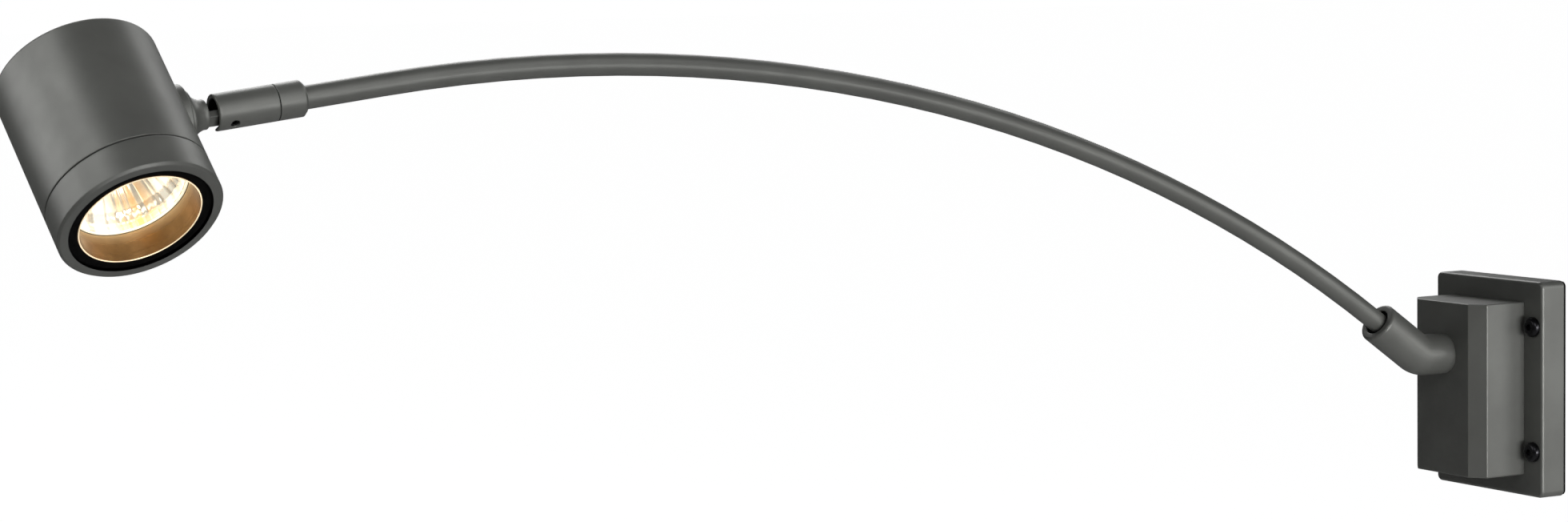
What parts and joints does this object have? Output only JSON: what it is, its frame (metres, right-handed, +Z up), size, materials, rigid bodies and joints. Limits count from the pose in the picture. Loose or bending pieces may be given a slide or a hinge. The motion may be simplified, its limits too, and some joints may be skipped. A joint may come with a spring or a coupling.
{
  "type": "gooseneck wall spotlight",
  "caption": "Wall spotlight on a long curved tube arm: boxed wall plate, elbow, swivel and tilt knuckle, and a cylindrical lamp head with a screwed front ring.",
  "frame": {"origin": "centre of the wall face of the wall plate", "axes": "+Y into the wall, -Y out into the room along the arm, +Z up, +X to the viewer's right-hand side when facing the wall"},
  "size_m": [0.103, 0.769, 0.2526],
  "materials": {
    "powder_coat": "fine textured anthracite powder coat",
    "zinc_steel": "zinc plated",
    "black_screw": "black plated, satin",
    "black_rubber": "matt black",
    "friction_plastic": "natural, smooth",
    "terminal_plastic": "off-white moulding",
    "brass_screw": "bare",
    "bronze": "bronze anodised, satin",
    "lamp_pin_metal": "nickel plated",
    "clear_glass": "clear, polished",
    "lamp_glass": "clear, polished",
    "reflector_coat": "facetted metallised glass",
    "ceramic": "glazed ceramic, off-white"
  },
  "bodies": {
    "wall": {"wall_bracket": "zinc_steel", "cable_grommet": "black_rubber", "wall_plate": "powder_coat", "wall_gasket": "black_rubber", "plate_screws": "black_screw", "terminal_block": "terminal_plastic", "terminal_screws": "brass_screw", "box_cover": "powder_coat", "box_gasket": "black_rubber", "box_screws": "zinc_steel", "elbow": "powder_coat", "elbow_seal": "black_rubber", "elbow_nut": "zinc_steel", "mouth_seal": "black_rubber", "elbow_grub_screw": "black_screw", "arm_tube": "powder_coat", "knuckle_sleeve": "powder_coat", "sleeve_grub_screw": "black_screw", "swivel_stop_pin": "zinc_steel", "swivel_disc": "friction_plastic", "swivel_screw": "zinc_steel", "swivel_spring_washer": "zinc_steel"},
    "knuckle": {"knuckle_barrel": "powder_coat", "pivot_pin": "black_screw", "pivot_spacer": "zinc_steel", "pivot_washer": "friction_plastic"},
    "boss": {"tilt_boss": "powder_coat", "boss_bolt": "zinc_steel"},
    "head": {"head_shell": "powder_coat", "head_disc": "friction_plastic", "bolt_washer": "zinc_steel", "seam_seal": "black_rubber", "glass_ring": "black_rubber", "lamp_reflector": "reflector_coat", "lamp_lens": "lamp_glass", "lamp_capsule": "lamp_glass", "lamp_base": "ceramic", "lamp_pins": "lamp_pin_metal", "lamp_holder": "ceramic", "holder_plate": "zinc_steel", "holder_screws": "zinc_steel"},
    "glass": {"front_glass": "clear_glass", "baffle": "bronze"},
    "ring": {"front_ring": "powder_coat", "glazing_seal": "black_rubber"}
  },
  "joints": [
    {"name": "knuckle_swivel", "type": "hinge", "parent": "wall", "child": "knuckle", "pos_m": [0, -0.65832, 0.16263], "axis": [0, -0.9925, -0.1219], "range_deg": [-150, 150]},
    {"name": "head_tilt", "type": "hinge", "parent": "knuckle", "child": "boss", "pos_m": [0, -0.67777, 0.16024], "axis": [0.6903, 0.0882, -0.7182], "range_deg": [0, 90]},
    {"name": "head_turn", "type": "hinge", "parent": "boss", "child": "head", "pos_m": [0, -0.69763, 0.15781], "axis": [0, -0.9925, -0.1219], "range_deg": [-90, 90]},
    {"name": "glass_travel", "type": "slide", "parent": "head", "child": "glass", "axis": [0.6903, 0.0882, -0.7182], "range_m": [0, 0.0075]},
    {"name": "ring_unscrew", "type": "hinge", "parent": "glass", "child": "ring", "pos_m": [0.02761, -0.72864, 0.12484], "axis": [0.6903, 0.0882, -0.7182], "range_deg": [0, 1800]}
  ],
  "couplings": [
    {"joint": "glass_travel", "follows": "ring_unscrew", "m_per_rad": 0.00023873}
  ]
}
